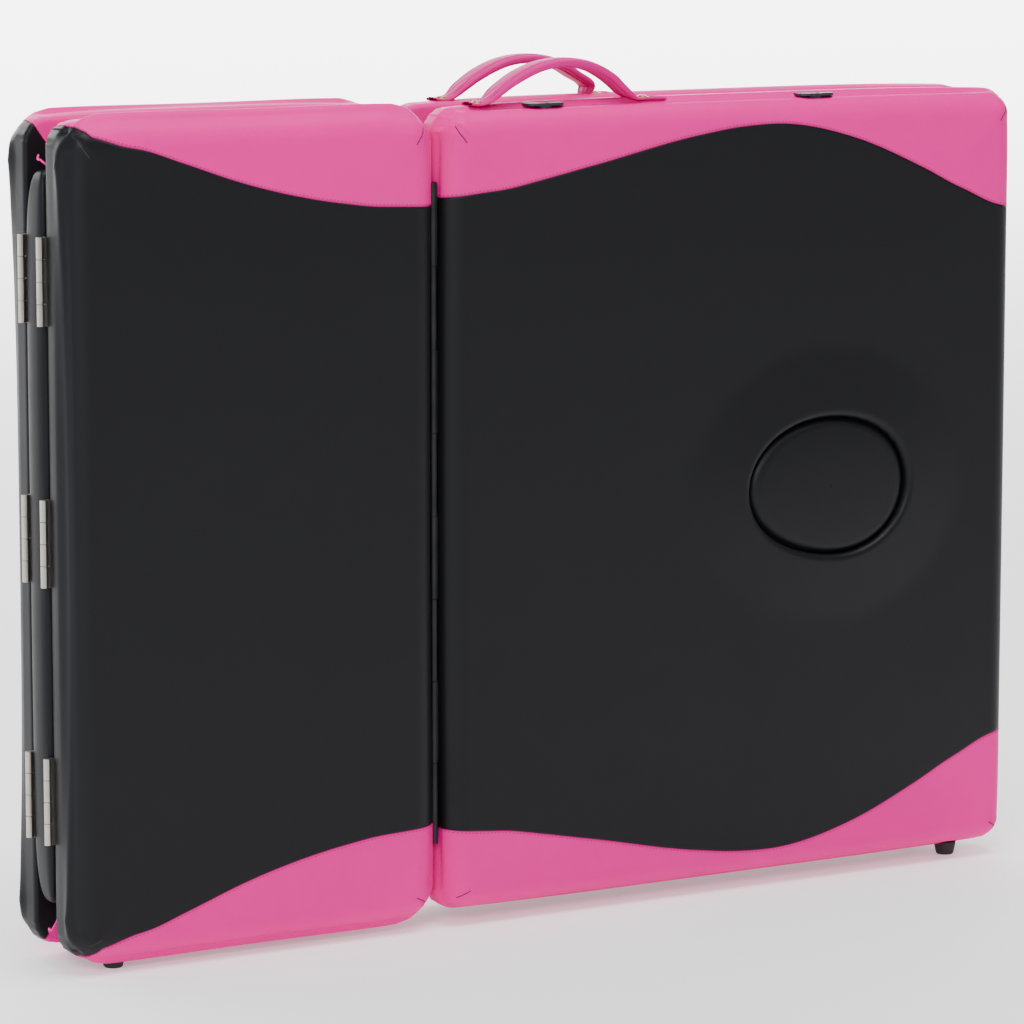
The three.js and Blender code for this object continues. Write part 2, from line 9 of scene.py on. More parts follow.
import bpy
import numpy as np
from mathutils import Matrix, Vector


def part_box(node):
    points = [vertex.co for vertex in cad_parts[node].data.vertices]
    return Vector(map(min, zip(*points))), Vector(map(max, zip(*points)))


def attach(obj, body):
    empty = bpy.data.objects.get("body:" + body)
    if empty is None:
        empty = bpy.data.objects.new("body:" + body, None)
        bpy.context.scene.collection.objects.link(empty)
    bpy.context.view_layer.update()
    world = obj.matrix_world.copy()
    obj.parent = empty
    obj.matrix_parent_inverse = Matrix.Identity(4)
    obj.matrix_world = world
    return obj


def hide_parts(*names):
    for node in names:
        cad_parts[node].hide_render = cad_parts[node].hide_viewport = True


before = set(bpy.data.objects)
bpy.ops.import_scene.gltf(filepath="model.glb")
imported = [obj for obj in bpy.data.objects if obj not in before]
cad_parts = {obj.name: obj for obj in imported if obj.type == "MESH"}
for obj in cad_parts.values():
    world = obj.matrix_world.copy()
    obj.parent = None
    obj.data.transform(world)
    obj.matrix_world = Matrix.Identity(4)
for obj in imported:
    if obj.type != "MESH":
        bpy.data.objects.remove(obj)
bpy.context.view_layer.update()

MM = 0.001
PAD_ROUND = 20 * MM  # edge and plan-corner rounding of a pad
HEM_PLANE = 19.15 * MM  # where the vinyl is turned over the board
HEM_ROUND = 2 * MM
HEM_WIDTH = 17 * MM
PRESSURE = 4.0
SIM_FRAMES = 20
SIM_STEP = 9 * MM
SIM_CAP = 5 * MM
STITCH_PITCH = 3.6 * MM
STITCH_OFFSET = 1.9 * MM
STRAP_PITCH = 3.2 * MM
HOLE_ROUND = 6 * MM
PLEAT_DEPTH = 0.7 * MM
DART_RADIUS = 0.4 * MM
CASE_START = -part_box("near_narrow_cushion")[0].x  # frame X to the distance from the spine end

# seam height above and below the middle of the bed, at places along a section
NARROW_SEAM = [(20, 331), (51, 321), (66, 318), (99, 307), (158, 287), (231, 270), (267, 265), (326, 261)]
WIDE_SEAM = [
    (344, 267), (392, 272), (489, 290), (589, 311), (640, 318), (681, 319),
    (755, 304), (830, 274), (873, 254), (906, 240), (925, 236),
]


# ---- Colour and materials -----------------------------------------------------------------
def linear(code):
    """The linear colour of an sRGB hex code."""
    parts = [int(code[i : i + 2], 16) / 255 for i in (1, 3, 5)]
    return tuple(c / 12.92 if c <= 0.04045 else ((c + 0.055) / 1.055) ** 2.4 for c in parts) + (1.0,)


def node(tree, kind, inputs=(), **settings):
    """Adds a node, sets its properties, and sets or links its inputs by name or number."""
    made = tree.nodes.new(kind)
    for key, value in settings.items():
        setattr(made, key, value)
    for key, value in dict(inputs).items():
        if isinstance(value, bpy.types.NodeSocket):
            tree.links.new(value, made.inputs[key])
        else:
            made.inputs[key].default_value = value
    return made


def material(name, colour, roughness, metallic=0.0):
    """A named finish: its node tree, its shader and the object-space coordinates, in metres."""
    made = bpy.data.materials.new(name)
    made.use_nodes = True
    tree = made.node_tree
    shader = tree.nodes["Principled BSDF"]
    shader.inputs["Base Color"].default_value = linear(colour)
    shader.inputs["Roughness"].default_value = roughness
    shader.inputs["Metallic"].default_value = metallic
    place = node(tree, "ShaderNodeTexCoord").outputs["Object"]
    return made, tree, shader, place


def spread(tree, value, low, high):
    """Takes a 0..1 value to low..high."""
    return node(tree, "ShaderNodeMapRange", {"Value": value, "To Min": low, "To Max": high}).outputs[0]


def math_of(tree, operation, *values):
    return node(tree, "ShaderNodeMath", dict(enumerate(values)), operation=operation).outputs[0]


def bump(tree, shader, layers):
    """Bump layers as (height, strength, distance in metres), each on top of the one before."""
    normal = None
    for height, strength, distance in layers:
        inputs = {"Height": height, "Strength": strength, "Distance": distance}
        if normal is not None:
            inputs["Normal"] = normal
        normal = node(tree, "ShaderNodeBump", inputs).outputs[0]
    tree.links.new(normal, shader.inputs["Normal"])


def tinted(tree, shader, colour, factor, amount):
    """Mixes the base colour towards another one by factor times amount."""
    base = shader.inputs["Base Color"]
    start = base.links[0].from_socket if base.links else tuple(base.default_value)
    share = math_of(tree, "MULTIPLY", factor, amount)
    mixed = node(tree, "ShaderNodeMix", {0: share, 6: start, 7: linear(colour)}, data_type="RGBA")
    tree.links.new(mixed.outputs[2], base)


def vinyl(name, colour, dark, roughness, shine, seams=False):
    """PU vinyl on foam: a fine pebble grain, faint handling marks, and the pressed line of a seam, whose
    colour is darkened there as painted shade.
    """
    made, tree, shader, place = material(name, colour, roughness)
    pebble = node(tree, "ShaderNodeTexVoronoi", {"Vector": place, "Scale": 950.0}, feature="SMOOTH_F1")
    fine = node(tree, "ShaderNodeTexNoise", {"Vector": place, "Scale": 1500.0, "Detail": 2.0})
    slack = node(tree, "ShaderNodeTexNoise", {"Vector": place, "Scale": 14.0, "Detail": 3.0})
    wear = node(tree, "ShaderNodeTexNoise", {"Vector": place, "Scale": 9.0, "Detail": 6.0, "Roughness": 0.65})
    rough = spread(tree, wear.outputs[0], roughness - 0.07, roughness + 0.08)
    tree.links.new(rough, shader.inputs["Roughness"])
    tinted(tree, shader, dark, wear.outputs[0], 0.25)
    layers = [
        (slack.outputs[0], 0.35, 0.0012),
        (pebble.outputs["Distance"], 0.3, 0.00022),
        (fine.outputs[0], 0.2, 0.0001),
    ]
    if seams:
        off = node(tree, "ShaderNodeAttribute", attribute_name="seam").outputs["Fac"]
        away = math_of(tree, "DIVIDE", math_of(tree, "ABSOLUTE", off), 1.4 * MM)
        pressed = math_of(tree, "SMOOTH_MIN", away, 1.0, 0.25)
        layers.insert(0, (pressed, 0.8, 0.0011))
        # painted shade: the colour is darkened strongly towards dark inside the seam groove
        tinted(tree, shader, dark, math_of(tree, "SUBTRACT", 1.0, pressed), 0.85)
    bump(tree, shader, layers)
    shader.inputs["Specular IOR Level"].default_value = shine
    return made


def metal(name, colour, roughness, scale=(20.0, 20.0, 900.0)):
    """Metal with drawn lines along its length and dull patches where it is handled."""
    made, tree, shader, place = material(name, colour, roughness, 1.0)
    drawn = node(tree, "ShaderNodeMapping", {"Vector": place, "Scale": scale})
    lines = node(tree, "ShaderNodeTexNoise", {"Vector": drawn.outputs[0], "Scale": 3.0, "Detail": 4.0})
    dull = node(tree, "ShaderNodeTexNoise", {"Vector": place, "Scale": 40.0, "Detail": 5.0})
    rough = math_of(tree, "ADD", spread(tree, dull.outputs[0], -0.08, 0.14), roughness)
    tree.links.new(rough, shader.inputs["Roughness"])
    tinted(tree, shader, "#6E6A63", dull.outputs[0], 0.3)
    bump(tree, shader, [(lines.outputs[0], 0.15, 0.0001)])
    return made


def moulded(name, colour, roughness, grain):
    """Moulded rubber or plastic: a matt spark-eroded grain of that size, in dots a metre."""
    made, tree, shader, place = material(name, colour, roughness)
    dots = node(tree, "ShaderNodeTexNoise", {"Vector": place, "Scale": grain, "Detail": 3.0})
    scuff = node(tree, "ShaderNodeTexNoise", {"Vector": place, "Scale": 60.0, "Detail": 6.0})
    rough = spread(tree, scuff.outputs[0], roughness - 0.1, roughness + 0.12)
    tree.links.new(rough, shader.inputs["Roughness"])
    tinted(tree, shader, "#4A4A4C", scuff.outputs[0], 0.18)
    bump(tree, shader, [(dots.outputs[0], 0.3, 0.0002)])
    return made


def wood(name):
    """Birch plywood: long grain along X, darker growth lines and open pores."""
    made, tree, shader, place = material(name, "#C9A06C", 0.62)
    long = node(tree, "ShaderNodeMapping", {"Vector": place, "Scale": (1.5, 14.0, 14.0)})
    growth = {"Vector": long.outputs[0], "Scale": 0.5, "Distortion": 16.0, "Detail": 4.0}
    rings = node(tree, "ShaderNodeTexWave", growth, bands_direction="Z")
    pores = node(tree, "ShaderNodeTexNoise", {"Vector": long.outputs[0], "Scale": 45.0, "Detail": 6.0})
    tinted(tree, shader, "#9A6C3E", rings.outputs[0], 0.25)
    tinted(tree, shader, "#6B4424", pores.outputs[0], 0.35)
    tree.links.new(spread(tree, pores.outputs[0], 0.5, 0.75), shader.inputs["Roughness"])
    bump(tree, shader, [(rings.outputs[0], 0.04, 0.0002), (pores.outputs[0], 0.25, 0.0002)])
    return made


FINISHES = {
    "black_vinyl": vinyl("Black PU vinyl, pebbled", "#111115", "#08080A", 0.44, 0.18),
    # the seamed finishes' dark colours tint random wear and also paint shade into the seam groove
    "black_seamed": vinyl("Black PU vinyl, pebbled and seamed", "#111115", "#040405", 0.44, 0.18, True),
    "pink_vinyl": vinyl("Hot pink PU vinyl, pebbled", "#EC0090", "#D0007A", 0.46, 0.1),
    "pink_seamed": vinyl("Hot pink PU vinyl, pebbled and seamed", "#EC0090", "#8E0A54", 0.46, 0.1, True),
    "pink_strap": vinyl("Deep pink PU vinyl, folded and sewn", "#C8007A", "#A00060", 0.5, 0.1),
    "plywood": wood("Birch plywood, sanded"),
    "nickel": metal("Steel, nickel plated", "#B9B4AA", 0.34),
    # painted shade: the section hinges are black so the V groove between the pads shows as a dark line
    "groove_shade_steel": metal("Steel, black as painted groove shade", "#26262A", 0.55),
    "aluminium": metal("Aluminium, satin anodised", "#B4B7BB", 0.36, (4.0, 400.0, 400.0)),
    "brass": metal("Brass, polished", "#C79A4E", 0.24),
    "rubber": moulded("Black rubber", "#161617", 0.72, 900.0),
    "plastic": moulded("Black nylon, moulded", "#1A1A1C", 0.42, 1600.0),
    "pink_thread": moulded("Magenta polyester thread", "#A8155C", 0.7, 2500.0),
    # partly painted shade: the darts are real, but their black line stands for the shade in each fold
    "dart_shade_thread": moulded("Black thread, dart stitch and painted fold shade", "#101012", 0.7, 2500.0),
}


# ---- Mesh building ------------------------------------------------------------------------
def grid_faces(rows, columns, wrap=False):
    """Quads of a rows by columns grid of points; wrap joins the last column to the first."""
    i, j = np.meshgrid(np.arange(rows - 1), np.arange(columns if wrap else columns - 1), indexing="ij")
    k = (j + 1) % columns
    quads = np.stack([i * columns + j, (i + 1) * columns + j, (i + 1) * columns + k, i * columns + k], -1)
    return quads.reshape(-1, 4)


def build(name, points, faces, finishes, body, picks=None, fields=None):
    """One smooth-shaded mesh object at the origin, riding on a body."""
    mesh = bpy.data.meshes.new(name)
    points = np.asarray(points, float).reshape(-1, 3)
    mesh.from_pydata(points.tolist(), [], np.asarray(faces).tolist())
    for finish in finishes:
        mesh.materials.append(FINISHES[finish])
    if picks is not None:
        mesh.polygons.foreach_set("material_index", np.asarray(picks, np.int32))
    for key, values in (fields or {}).items():
        mesh.attributes.new(key, "FLOAT", "POINT").data.foreach_set("value", np.asarray(values, np.float32))
    mesh.polygons.foreach_set("use_smooth", np.ones(len(mesh.polygons), bool))
    mesh.update()
    made = bpy.data.objects.new(name, mesh)
    bpy.context.scene.collection.objects.link(made)
    if body:
        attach(made, body)
    return made


def marks(low, high, step, fine=(), fine_step=None):
    """Places from low to high about a step apart, closer inside each fine span."""
    edges = sorted({low, high, *(min(max(e, low), high) for span in fine for e in span)})
    places = [low]
    for a, b in zip(edges[:-1], edges[1:]):
        middle = (a + b) / 2
        inside = any(s[0] <= middle <= s[1] for s in fine)
        count = max(1, round((b - a) / (fine_step if inside else step)))
        places.extend(np.linspace(a, b, count + 1)[1:])
    return np.array(places)


def smooth_curve(x, waypoints):
    """A curve through waypoints in mm, a cubic between each two, level beyond the ends; metres."""
    xs, ys = np.array(waypoints, float).T * MM
    slopes = np.gradient(ys, xs)
    x = np.clip(x, xs[0], xs[-1])
    i = np.clip(np.searchsorted(xs, x) - 1, 0, len(xs) - 2)
    h = xs[i + 1] - xs[i]
    t = (x - xs[i]) / h
    a = ys[i] * (1 + 2 * t) * (1 - t) ** 2 + ys[i + 1] * t * t * (3 - 2 * t)
    return a + h * t * (1 - t) * (slopes[i] * (1 - t) - slopes[i + 1] * t)


def profile(e, face):
    """How far out and how deep the skin is at a length e past the flat of the face:
    a quarter circle, the side, a small turn under the board and the hem."""
    arc = PAD_ROUND * math.pi / 2
    side = face - PAD_ROUND - HEM_ROUND - HEM_PLANE
    turn = HEM_ROUND * math.pi / 2
    a = np.clip(e / PAD_ROUND, 0, math.pi / 2)
    b = np.clip((e - arc - side) / HEM_ROUND, 0, math.pi / 2)
    down = np.clip(e - arc, 0, side)
    hem = np.clip(e - arc - side - turn, 0, None)
    out = PAD_ROUND * np.sin(a) - HEM_ROUND * (1 - np.cos(b)) - hem
    depth = face - PAD_ROUND * (1 - np.cos(a)) - down - HEM_ROUND * np.sin(b)
    return out, depth, arc + side + turn + HEM_WIDTH


def skin_points(p, q, half, face):
    """A rounded box from a flat grid. With e = max(|p|-a, |q|-b, 0) past the flat of the face,
    the point is (min(|p|,a), min(|q|,b)) plus out(e) along an angle that turns round the corner.
    Four pleats, sin(8 angle)^2 deep, gather each corner towards the board."""
    a, b = half[0] - PAD_ROUND, half[1] - PAD_ROUND
    P, Q = np.meshgrid(p, q, indexing="ij")
    ep, eq = np.clip(np.abs(P) - a, 0, None), np.clip(np.abs(Q) - b, 0, None)
    e = np.maximum(ep, eq)
    ratio = np.minimum(ep, eq) / np.maximum(e, 1e-9)
    angle = np.where(ep >= eq, ratio, 2 - ratio) * math.pi / 4
    out, depth, _ = profile(e, face)
    inside = np.clip((face - PAD_ROUND - depth) / (face - PAD_ROUND - HEM_PLANE), 0, 1)
    out = out - PLEAT_DEPTH * inside**1.5 * np.sin(8 * angle) ** 2 * (ep > 0) * (eq > 0)
    x = np.sign(P) * (np.minimum(np.abs(P), a) + np.cos(angle) * out)
    z = np.sign(Q) * (np.minimum(np.abs(Q), b) + np.sin(angle) * out)
    return np.stack([x, depth, z], -1)


def press(points, held, name):
    """Lets pressure push an open grid of cloth, held at some points, along its faces' normals.
    Returns how far each point moved, cut to SIM_CAP."""
    rows, columns, _ = points.shape
    made = build(name, points, grid_faces(rows, columns), [], None)
    group = made.vertex_groups.new(name="held")
    group.add([int(i) for i in np.flatnonzero(held.ravel())], 1.0, "REPLACE")
    cloth = made.modifiers.new("cloth", "CLOTH")
    cloth.settings.vertex_group_mass = "held"
    cloth.settings.use_pressure = True
    cloth.settings.uniform_pressure_force = PRESSURE
    cloth.settings.tension_stiffness = 40
    cloth.settings.compression_stiffness = 40
    cloth.settings.shear_stiffness = 20
    cloth.settings.bending_stiffness = 2
    cloth.settings.effector_weights.gravity = 0
    cloth.settings.quality = 6
    cloth.point_cache.frame_end = SIM_FRAMES
    for frame_number in range(1, SIM_FRAMES + 1):
        bpy.context.scene.frame_set(frame_number)
    shown = made.evaluated_get(bpy.context.evaluated_depsgraph_get())
    moved = np.zeros(rows * columns * 3, np.float32)
    shown.data.vertices.foreach_get("co", moved)
    bpy.context.scene.frame_set(1)
    bpy.data.objects.remove(made)
    shift = moved.reshape(points.shape).astype(float) - points
    length = np.linalg.norm(shift, axis=-1, keepdims=True)
    return shift * np.minimum(1, SIM_CAP / np.maximum(length, 1e-9))


def resample(values, p0, q0, p, q):
    """Bilinear values of a p0 by q0 grid at the points of a p by q grid."""
    first = np.stack([[np.interp(p, p0, values[:, j, k]) for j in range(len(q0))] for k in range(3)], -1)
    return np.stack([[np.interp(q, q0, first[:, i, k]) for i in range(len(p))] for k in range(3)], -1)


def split(points, triangles, fields, key):
    """Cuts the triangles of a mesh along fields[key] = 0, so that none lies on both sides.
    Every field and point is linear along the edges that are cut."""
    s = np.where(np.abs(fields[key]) < 1e-7, 1e-7, fields[key])
    edges = np.sort(np.concatenate([triangles[:, [0, 1]], triangles[:, [1, 2]], triangles[:, [2, 0]]]), 1)
    edges = np.unique(edges, axis=0)
    a, b = edges[s[edges[:, 0]] * s[edges[:, 1]] < 0].T
    t = s[a] / (s[a] - s[b])
    new = {pair: len(points) + k for k, pair in enumerate(zip(a.tolist(), b.tolist()))}
    points = np.concatenate([points, points[a] * (1 - t[:, None]) + points[b] * t[:, None]])
    fields = {k: np.concatenate([f, f[a] * (1 - t) + f[b] * t]) for k, f in fields.items()}
    side = s[triangles] > 0
    mixed = side.any(1) & ~side.all(1)
    cut = []
    for corners, sides in zip(triangles[mixed].tolist(), side[mixed].tolist()):
        alone = sides.index(sum(sides) == 1)
        u, v, w = corners[alone:] + corners[:alone]
        uv, uw = new[min(u, v), max(u, v)], new[min(u, w), max(u, w)]
        cut += [(u, uv, uw), (uv, v, w), (uv, w, uw)]
    return points, np.concatenate([triangles[~mixed], np.array(cut)]), fields


def seam_height(p, waypoints, middle):
    """Height of the seam at a flat place p along a section whose middle is given; metres.
    It goes level round an end, but at an end that it climbs to it follows the corner."""
    places = np.asarray(p, float) + middle + CASE_START
    first, last = waypoints[0], waypoints[-1]
    climbing = first[1] > last[1] + 50
    corner = np.clip(first[0] * MM - places, 0, None) if climbing else 0.0
    return smooth_curve(places, waypoints) + corner


def hole_radius(angle, size):
    """An egg: half the length and width of an ellipse, fuller towards the open end."""
    a, b = size
    fuller = 1 + 0.06 * np.cos(angle) + 0.03 * np.cos(2 * angle + 0.9)
    return np.stack([a * np.cos(angle), b * np.sin(angle) * fuller], -1)


def hole_distance(x, z, centre, size):
    """Roughly the distance outside the egg, in metres."""
    dx, dz = x - centre[0], z - centre[1]
    angle = np.arctan2(dz / size[1], dx / size[0])
    rim = hole_radius(angle, size)
    return np.hypot(dx, dz) - np.hypot(rim[..., 0], rim[..., 1])


# ---- The pads -----------------------------------------------------------------------------
def corner_darts(half):
    """The short stitched darts at a section's corners, as flat start and end points."""
    a, b = half[0] - PAD_ROUND, half[1] - PAD_ROUND
    root = (a + 17 * MM, b + 14 * MM)
    tips = {1: (a + 3 * MM, b - 6 * MM), -1: (a + 1 * MM, b + 3 * MM)}
    corners = [(x, z) for x in (-1, 1) for z in (-1, 1)]
    return [((x * root[0], z * root[1]), (x * tips[z][0], z * tips[z][1])) for x, z in corners]


def fuller(grid, half, face, slump, ends):
    """Foam pushes the covers outwards: the face by up to 1.5 mm, the top by 4 mm, the two ends
    by theirs in the middle of their height, and a section's lower edge sags by its slump."""
    x, y, z = grid[..., 0], grid[..., 1], grid[..., 2]
    u, w = np.clip(x / half[0], -1, 1), np.clip(z / half[1], -1, 1)
    inner = np.clip((y - HEM_PLANE) / (10 * MM), 0, 1)
    round_u, round_w = 1 - u**4, 1 - w**4
    across = np.clip(1.5 * (face - y) / PAD_ROUND, 0.2, 1)
    end = np.clip((np.abs(x) - half[0] + PAD_ROUND) / PAD_ROUND, 0, 1)
    edge = np.clip((np.abs(z) - half[1] + PAD_ROUND) / PAD_ROUND, 0, 1)
    lift = np.where(z > 0, 4.0 * MM, slump) * np.sign(z)
    flat = np.clip((y - face + PAD_ROUND) / PAD_ROUND, 0, 1)
    return np.stack(
        [
            x + np.where(x < 0, -ends[0], ends[1]) * end * inner * round_w * across,
            y + flat * round_u * round_w * 1.5 * MM,
            z + lift * edge * inner * round_u,
        ],
        -1,
    )


def stitches(name, centres, along, out, size, finish, body):
    """One thread loop for each centre: an ellipsoid of rings x 6 points, long along the seam."""
    across = np.cross(along, out)
    rings = np.linspace(0.12, math.pi - 0.12, 5)
    turns = np.linspace(0, 2 * math.pi, 6, endpoint=False)
    lengthwise, radius = np.cos(rings)[:, None], np.sin(rings)[:, None]
    local = np.stack(
        [lengthwise * np.ones(6), radius * np.cos(turns), radius * np.sin(turns)], -1
    ).reshape(-1, 3) * (size[0] / 2, size[1] / 2, size[1] / 2)
    axes = np.stack([along, across, out], 1)
    points = centres[:, None] + np.einsum("pk,nkc->npc", local, axes)
    one = grid_faces(5, 6, wrap=True)
    faces = (one[None] + 30 * np.arange(len(centres))[:, None, None]).reshape(-1, 4)
    return build(name, points, faces, [finish], body)


def seam_stitches(name, at, u, v, lift, finish, body):
    """Stitches at an even pitch over the flat curve u, v, a little proud of the surface."""
    line = at(u, v)
    run = np.concatenate([[0], np.cumsum(np.linalg.norm(np.diff(line, axis=0), axis=1))])
    places = np.arange(STITCH_PITCH, run[-1], STITCH_PITCH)
    u, v = np.interp(places, run, u), np.interp(places, run, v)
    step = 1.0 * MM
    du = at(u + step, v) - at(u - step, v)
    dv = at(u, v + step) - at(u, v - step)
    out = np.cross(du, dv)
    centres = at(u, v)
    out *= np.sign(np.sum(out[:, 1]) * np.mean(centres[:, 1]))
    out /= np.linalg.norm(out, axis=1, keepdims=True)
    along = np.gradient(centres, axis=0)
    along -= out * np.sum(along * out, 1, keepdims=True)
    along /= np.linalg.norm(along, axis=1, keepdims=True)
    return stitches(name, centres + lift * out, along, out, (2.5 * MM, 0.75 * MM), finish, body)


def pad(name, side, waypoints, body, slump, ends, hole=None):
    """The vinyl skin of one section: the rounded-box grid of skin_points, made fuller along its
    outline and cut into its two colours. The grid that is pressed has normals that look inwards,
    so the face is pushed back onto the foam, by SIM_CAP at most and less near the hole."""
    low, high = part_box(f"{name}_cushion")
    middle = (low + high) / 2
    half = ((high.x - low.x) / 2, (high.z - low.z) / 2)
    face = max(abs(low.y), abs(high.y))
    wrap = profile(np.zeros(1), face)[2]
    reach = [h - PAD_ROUND + wrap for h in half]

    coarse = [marks(-r, r, SIM_STEP) for r in reach]
    shift = np.zeros((len(coarse[0]), len(coarse[1]), 3))
    rest = skin_points(*coarse, half, face)
    held = rest[..., 1] < face - 1.2 * PAD_ROUND
    shift = press(rest, held, f"{name}_cloth")
    if hole:
        d = hole_distance(rest[..., 0] + middle.x, rest[..., 2] + middle.z, *hole)
        shift *= np.clip(d / (60 * MM), 0, 1)[..., None]

    fine = [[(-r, 55 * MM - h), (h - 55 * MM, r)] for r, h in zip(reach, half)]
    if hole:
        for k, at_middle in enumerate((middle.x, middle.z)):
            at_hole = hole[0][k] - at_middle
            fine[k].append((at_hole - hole[1][k] - 16 * MM, at_hole + hole[1][k] + 16 * MM))
    p, q = (marks(-r, r, 6 * MM, spans, 2.6 * MM) for r, spans in zip(reach, fine))
    grid = skin_points(p, q, half, face) + resample(shift, *coarse, p, q)
    grid = fuller(grid, half, face, slump, ends) * (1, side, 1) + tuple((middle.x, 0, middle.z))

    def at(u, v):
        """The surface point over the flat coordinates u, v."""
        i, j = np.interp(u, p, np.arange(len(p))), np.interp(v, q, np.arange(len(q)))
        i0, j0 = np.minimum(i.astype(int), len(p) - 2), np.minimum(j.astype(int), len(q) - 2)
        s, t = (i - i0)[:, None], (j - j0)[:, None]
        near = grid[i0, j0] * (1 - t) + grid[i0, j0 + 1] * t
        far = grid[i0 + 1, j0] * (1 - t) + grid[i0 + 1, j0 + 1] * t
        return near * (1 - s) + far * s

    Q = np.broadcast_to(q, (len(p), len(q)))
    height = seam_height(p, waypoints, middle.x)
    steep = np.sqrt(1 + np.gradient(height, p) ** 2)
    fields = {"seam": ((np.abs(Q) - height[:, None]) / steep[:, None]).ravel()}
    quads = grid_faces(len(p), len(q))
    quads = quads if side < 0 else quads[:, ::-1]
    triangles = np.concatenate([quads[:, [0, 1, 2]], quads[:, [0, 2, 3]]])
    points, triangles, fields = split(grid.reshape(-1, 3), triangles, fields, "seam")
    if hole:
        d = hole_distance(points[:, 0], points[:, 2], *hole)
        fields["hole"] = np.where(points[:, 1] * side < face - 1.5 * PAD_ROUND, 1.0, d)
        points, triangles, fields = split(points, triangles, fields, "hole")
        d = fields.pop("hole")
        triangles = triangles[d[triangles].mean(1) > 0]
        into = np.clip(HOLE_ROUND - d, 0, HOLE_ROUND)
        points[:, 1] -= side * (HOLE_ROUND - np.sqrt(HOLE_ROUND**2 - into**2))
        used = np.unique(triangles)
        points, fields = points[used], {k: f[used] for k, f in fields.items()}
        triangles = np.searchsorted(used, triangles)
    pink = fields["seam"][triangles].mean(1) > 0
    skin = build(
        f"{name}_vinyl", points, triangles, ["black_seamed", "pink_seamed"], body, pink, fields
    )
    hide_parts(f"{name}_cushion")

    for sign, where in ((-1, "lower"), (1, "upper")):
        u = np.linspace(p[0] + HEM_WIDTH, p[-1] - HEM_WIDTH, 900)
        v = sign * (seam_height(u, waypoints, middle.x) + STITCH_OFFSET)
        sewn = seam_stitches(
            f"{name}_seam_stitches_{where}", at, u, v, 0.1 * MM, "pink_thread", body
        )
        sewn.parent = skin
    # each dart is a thin black cord, its darkness painted shade of the dart's fold
    for k, ((x0, z0), (x1, z1)) in enumerate(corner_darts(half)):
        line = at(np.linspace(x0, x1, 40), np.linspace(z0, z1, 40))
        dart = tube_round(
            f"{name}_dart_{k + 1}", line, DART_RADIUS, "dart_shade_thread", body, 8, closed=False
        )
        dart.parent = skin


# ---- Face hole and its plug ---------------------------------------------------------------
hole_low, hole_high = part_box("face_plug_board")
HOLE_CENTRE = ((hole_low.x + hole_high.x) / 2, (hole_low.z + hole_high.z) / 2)
HOLE_SIZE = ((hole_high.x - hole_low.x) / 2 - 1 * MM, (hole_high.z - hole_low.z) / 2)
NEAR_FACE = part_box("near_wide_cushion")[0].y
EGG_TURNS = 160  # points round a ring
PLUG_DEPTH, LINING_DEPTH = 38 * MM, 40.5 * MM


def egg_rings(rows):
    """Rings of the hole's egg, one for each (how far inside the rim at its narrowest, y)."""
    angle = np.linspace(0, 2 * math.pi, EGG_TURNS, endpoint=False)
    rings = []
    for inside, y in rows:
        egg = hole_radius(angle, HOLE_SIZE) * (1 - inside / HOLE_SIZE[1])
        x, z = HOLE_CENTRE[0] + egg[:, 0], HOLE_CENTRE[1] + egg[:, 1]
        rings.append(np.stack([x, np.full(EGG_TURNS, y), z], -1))
    return np.array(rings)


def tube_round(name, line, radius, finish, body, sides=10, closed=True):
    """A round cord of that radius along a line of points, closed into a ring or open."""
    line = np.asarray(line, float)
    if closed:
        ahead = np.roll(line, -1, 0) - np.roll(line, 1, 0)
    else:
        ahead = np.gradient(line, axis=0)
    ahead /= np.linalg.norm(ahead, axis=1, keepdims=True)
    side = np.cross(ahead, (0, 1, 0))
    side /= np.linalg.norm(side, axis=1, keepdims=True)
    up = np.cross(ahead, side)
    turn = np.linspace(0, 2 * math.pi, sides, endpoint=False)[None, :, None]
    rings = line[:, None] + radius * (np.cos(turn) * side[:, None] + np.sin(turn) * up[:, None])
    if closed:
        rings = np.concatenate([rings, rings[:1]])
    return build(name, rings, grid_faces(len(rings), sides, wrap=True), [finish], body)


def plug():
    """The removable cushion in the face hole: rings from the middle out to the rim and down.
    Height is crown (1 - (r/R)^2.5), then a quarter round into the groove."""
    crown, rim, groove = 2.2 * MM, 9 * MM, 1.2 * MM
    face = NEAR_FACE + 0.6 * MM
    rows = []
    for share in np.linspace(0.01, 1, 26):
        inside = HOLE_SIZE[1] * (1 - share) + (groove + rim) * share
        rows.append((inside, face - crown * (1 - share**2.5)))
    for angle in np.linspace(0, math.pi / 2, 10)[1:]:
        y = face + rim * (1 - math.cos(angle))
        rows.append((groove + rim * (1 - math.sin(angle)), y))
    rows.append((groove, NEAR_FACE + PLUG_DEPTH))
    rings = egg_rings(rows)
    cushion = build(
        "face_plug_vinyl", rings, grid_faces(len(rings), EGG_TURNS, wrap=True)[:, ::-1],
        ["black_vinyl"], "face_plug",
    )
    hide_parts("face_plug_cushion")
    line = egg_rings([(groove + 0.4 * MM, NEAR_FACE + rim + 0.5 * MM)])[0]
    tube_round("face_plug_piping", line, 1.5 * MM, "black_vinyl", "face_plug").parent = cushion
    wall = egg_rings([(0.2 * MM, NEAR_FACE + HOLE_ROUND - 1.5 * MM), (0.3 * MM, NEAR_FACE + LINING_DEPTH)])
    build(
        "face_hole_lining", wall, grid_faces(2, EGG_TURNS, wrap=True),
        ["black_vinyl"], "near_back_section",
    )


# ---- The spine ----------------------------------------------------------------------------
SPINE_RINGS, SPINE_TURNS = 90, 40


